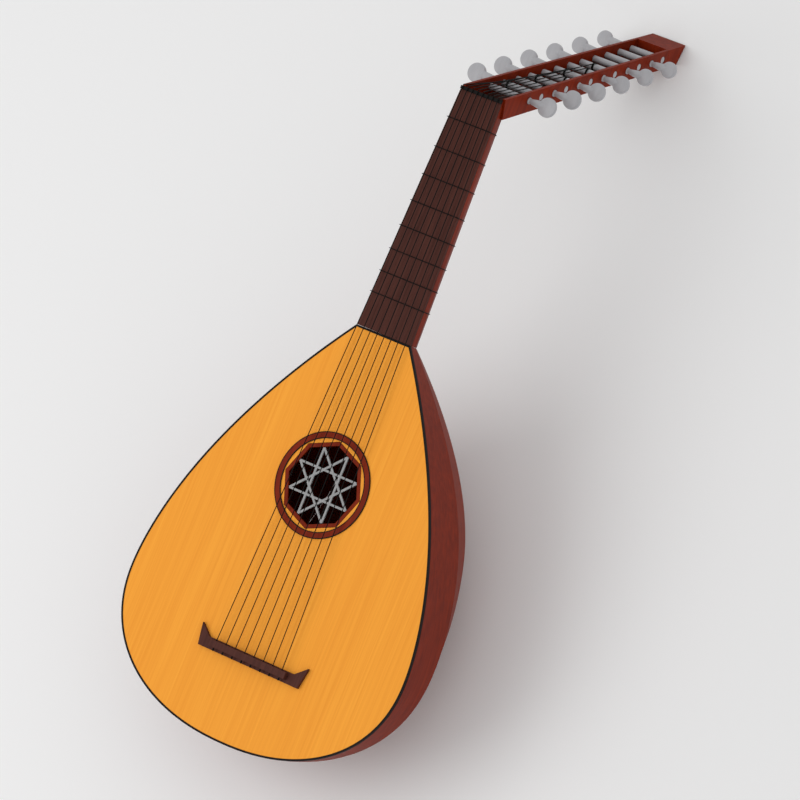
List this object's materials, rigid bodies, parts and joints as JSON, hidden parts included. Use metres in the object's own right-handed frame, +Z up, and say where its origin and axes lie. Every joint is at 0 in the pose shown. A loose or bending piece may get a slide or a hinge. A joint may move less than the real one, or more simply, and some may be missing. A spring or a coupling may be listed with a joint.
{
  "type": "lute",
  "caption": "Pear-shaped lute with a ribbed bowl back, lattice rose, tied frets and a bent-back pegbox with friction pegs.",
  "frame": {"origin": "centre of the underside of the whole object's box, on the floor that it lies on", "axes": "+Y from the tail towards the pegbox, +X to the treble side, +Z up"},
  "size_m": [0.342, 0.8756, 0.2781],
  "materials": {
    "spruce": "oiled yellow-orange spruce",
    "red_wood": "glossy red-brown varnish",
    "dark_wood": "satin dark brown",
    "black_wood": "satin ebony",
    "gut": "dark wound gut",
    "peg_grey": "polished pale grey",
    "lattice_grey": "grey painted fretwork"
  },
  "bodies": {
    "root": {"soundboard": "spruce", "neck_block": "spruce", "tail_block": "spruce", "brace_1": "spruce", "brace_2": "spruce", "brace_3": "spruce", "brace_4": "spruce", "brace_5": "spruce", "brace_6": "spruce", "rib_1": "red_wood", "rib_2": "red_wood", "rib_3": "red_wood", "rib_4": "red_wood", "rib_5": "red_wood", "rib_6": "red_wood", "rib_7": "red_wood", "rib_8": "red_wood", "rib_9": "red_wood", "neck": "red_wood", "pegbox_left_cheek": "red_wood", "pegbox_right_cheek": "red_wood", "pegbox_end": "red_wood", "rose_ring": "red_wood", "rose_frame": "red_wood", "fingerboard": "dark_wood", "bridge": "dark_wood", "pegbox_back": "dark_wood", "edge_lace": "black_wood", "nut": "black_wood", "string_1": "gut", "string_2": "gut", "string_3": "gut", "string_4": "gut", "string_5": "gut", "string_6": "gut", "string_7": "gut", "string_8": "gut", "fret_1": "gut", "fret_2": "gut", "fret_3": "gut", "fret_4": "gut", "fret_5": "gut", "fret_6": "gut", "fret_7": "gut", "fret_8": "gut", "rose_star": "lattice_grey"},
    "peg_right_1": {"peg_right_1": "peg_grey"},
    "peg_right_2": {"peg_right_2": "peg_grey"},
    "peg_right_3": {"peg_right_3": "peg_grey"},
    "peg_right_4": {"peg_right_4": "peg_grey"},
    "peg_right_5": {"peg_right_5": "peg_grey"},
    "peg_right_6": {"peg_right_6": "peg_grey"},
    "peg_left_1": {"peg_left_1": "peg_grey"},
    "peg_left_2": {"peg_left_2": "peg_grey"},
    "peg_left_3": {"peg_left_3": "peg_grey"},
    "peg_left_4": {"peg_left_4": "peg_grey"},
    "peg_left_5": {"peg_left_5": "peg_grey"},
    "peg_left_6": {"peg_left_6": "peg_grey"}
  },
  "joints": [
    {"name": "peg_right_1_turn", "type": "hinge", "parent": "root", "child": "peg_right_1", "pos_m": [0, 0.25793, 0.22952], "axis": [1, 0, 0], "continuous": true},
    {"name": "peg_right_2_turn", "type": "hinge", "parent": "root", "child": "peg_right_2", "pos_m": [0, 0.28496, 0.19305], "axis": [1, 0, 0], "continuous": true},
    {"name": "peg_right_3_turn", "type": "hinge", "parent": "root", "child": "peg_right_3", "pos_m": [0, 0.31199, 0.15657], "axis": [1, 0, 0], "continuous": true},
    {"name": "peg_right_4_turn", "type": "hinge", "parent": "root", "child": "peg_right_4", "pos_m": [0, 0.33903, 0.1201], "axis": [1, 0, 0], "continuous": true},
    {"name": "peg_right_5_turn", "type": "hinge", "parent": "root", "child": "peg_right_5", "pos_m": [0, 0.36606, 0.08362], "axis": [1, 0, 0], "continuous": true},
    {"name": "peg_right_6_turn", "type": "hinge", "parent": "root", "child": "peg_right_6", "pos_m": [0, 0.39309, 0.04715], "axis": [1, 0, 0], "continuous": true},
    {"name": "peg_left_1_turn", "type": "hinge", "parent": "root", "child": "peg_left_1", "pos_m": [0, 0.27103, 0.21185], "axis": [-1, 0, 0], "continuous": true},
    {"name": "peg_left_2_turn", "type": "hinge", "parent": "root", "child": "peg_left_2", "pos_m": [0, 0.29806, 0.17537], "axis": [-1, 0, 0], "continuous": true},
    {"name": "peg_left_3_turn", "type": "hinge", "parent": "root", "child": "peg_left_3", "pos_m": [0, 0.32509, 0.1389], "axis": [-1, 0, 0], "continuous": true},
    {"name": "peg_left_4_turn", "type": "hinge", "parent": "root", "child": "peg_left_4", "pos_m": [0, 0.35212, 0.10242], "axis": [-1, 0, 0], "continuous": true},
    {"name": "peg_left_5_turn", "type": "hinge", "parent": "root", "child": "peg_left_5", "pos_m": [0, 0.37916, 0.06595], "axis": [-1, 0, 0], "continuous": true},
    {"name": "peg_left_6_turn", "type": "hinge", "parent": "root", "child": "peg_left_6", "pos_m": [0, 0.40619, 0.02947], "axis": [-1, 0, 0], "continuous": true}
  ]
}
